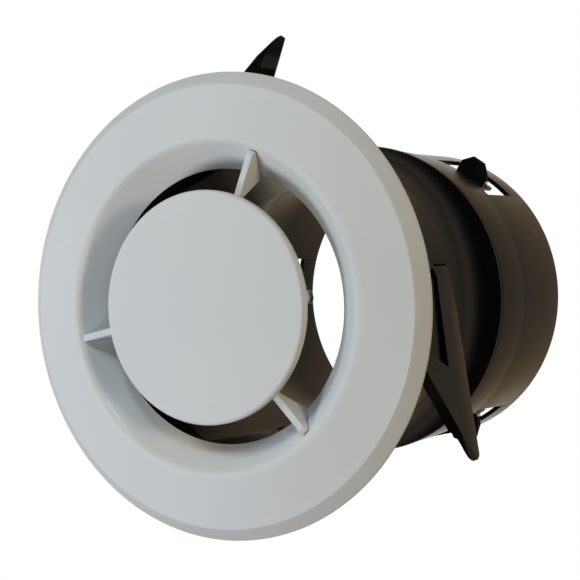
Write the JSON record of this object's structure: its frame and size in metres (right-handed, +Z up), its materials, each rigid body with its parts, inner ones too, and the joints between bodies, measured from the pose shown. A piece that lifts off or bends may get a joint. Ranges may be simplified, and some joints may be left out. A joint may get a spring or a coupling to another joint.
{
  "type": "ceiling air diffuser",
  "caption": "Round ceiling air diffuser with an adjustable centre disc, and a black neck with spring-loaded clamping wings and a clip-on duct collar behind it.",
  "frame": {"origin": "centre of the ceiling opening, in the plane on which the back of the face ring rests against the room side of the ceiling", "axes": "+Z up into the ceiling along the duct; the disc faces -Z into the room; +X and +Y lie in the ceiling plane"},
  "size_m": [0.2165, 0.23, 0.221],
  "materials": {
    "white_plastic": "injection-moulded white ABS, satin gloss",
    "black_plastic": "injection-moulded black polypropylene, satin gloss",
    "spring_steel": "drawn steel wire and pin, bright",
    "zinc_steel": "zinc-plated steel screw"
  },
  "bodies": {
    "root": {"face_ring": "white_plastic", "spider": "white_plastic", "neck": "black_plastic", "pivot_pin_a": "spring_steel", "pivot_pin_b": "spring_steel", "pivot_pin_c": "spring_steel", "wing_spring_a": "spring_steel", "wing_spring_b": "spring_steel", "wing_spring_c": "spring_steel", "ring_screw_a": "zinc_steel", "ring_screw_b": "zinc_steel", "ring_screw_c": "zinc_steel"},
    "slider": {"keyed_washer": "white_plastic"},
    "disc": {"centre_disc": "white_plastic", "spindle": "white_plastic"},
    "nut": {"lock_nut": "white_plastic"},
    "wing_a": {"wing_a": "black_plastic"},
    "wing_b": {"wing_b": "black_plastic"},
    "wing_c": {"wing_c": "black_plastic"},
    "collar": {"duct_collar": "black_plastic"}
  },
  "joints": [
    {"name": "wing_a_fold", "type": "hinge", "parent": "root", "child": "wing_a", "pos_m": [0.06646, -0.01657, 0.051], "axis": [0, 0, 1], "range_deg": [0, 30], "stiffness_Nm_per_rad": 0.05, "springref_deg": -34.38},
    {"name": "wing_b_fold", "type": "hinge", "parent": "root", "child": "wing_b", "pos_m": [-0.01888, 0.06585, 0.051], "axis": [0, 0, 1], "range_deg": [0, 30], "stiffness_Nm_per_rad": 0.05, "springref_deg": -34.38},
    {"name": "wing_c_fold", "type": "hinge", "parent": "root", "child": "wing_c", "pos_m": [-0.04758, -0.04927, 0.051], "axis": [0, 0, 1], "range_deg": [0, 30], "stiffness_Nm_per_rad": 0.05, "springref_deg": -34.38},
    {"name": "disc_travel", "type": "slide", "parent": "root", "child": "slider", "axis": [0, 0, -1], "range_m": [0, 0.0161]},
    {"name": "disc_turn", "type": "hinge", "parent": "slider", "child": "disc", "pos_m": [0, 0, 0], "axis": [0, 0, -1], "range_deg": [0, 1440]},
    {"name": "lock_nut_turn", "type": "hinge", "parent": "disc", "child": "nut", "pos_m": [0, 0, 0.05], "axis": [0, 0, 1], "range_deg": [0, 90]},
    {"name": "collar_turn", "type": "hinge", "parent": "root", "child": "collar", "pos_m": [0, 0, 0.167], "axis": [0, 0, 1], "range_deg": [-5, 5]}
  ],
  "couplings": [
    {"joint": "disc_travel", "follows": "disc_turn", "m_per_rad": 0.00063662}
  ]
}
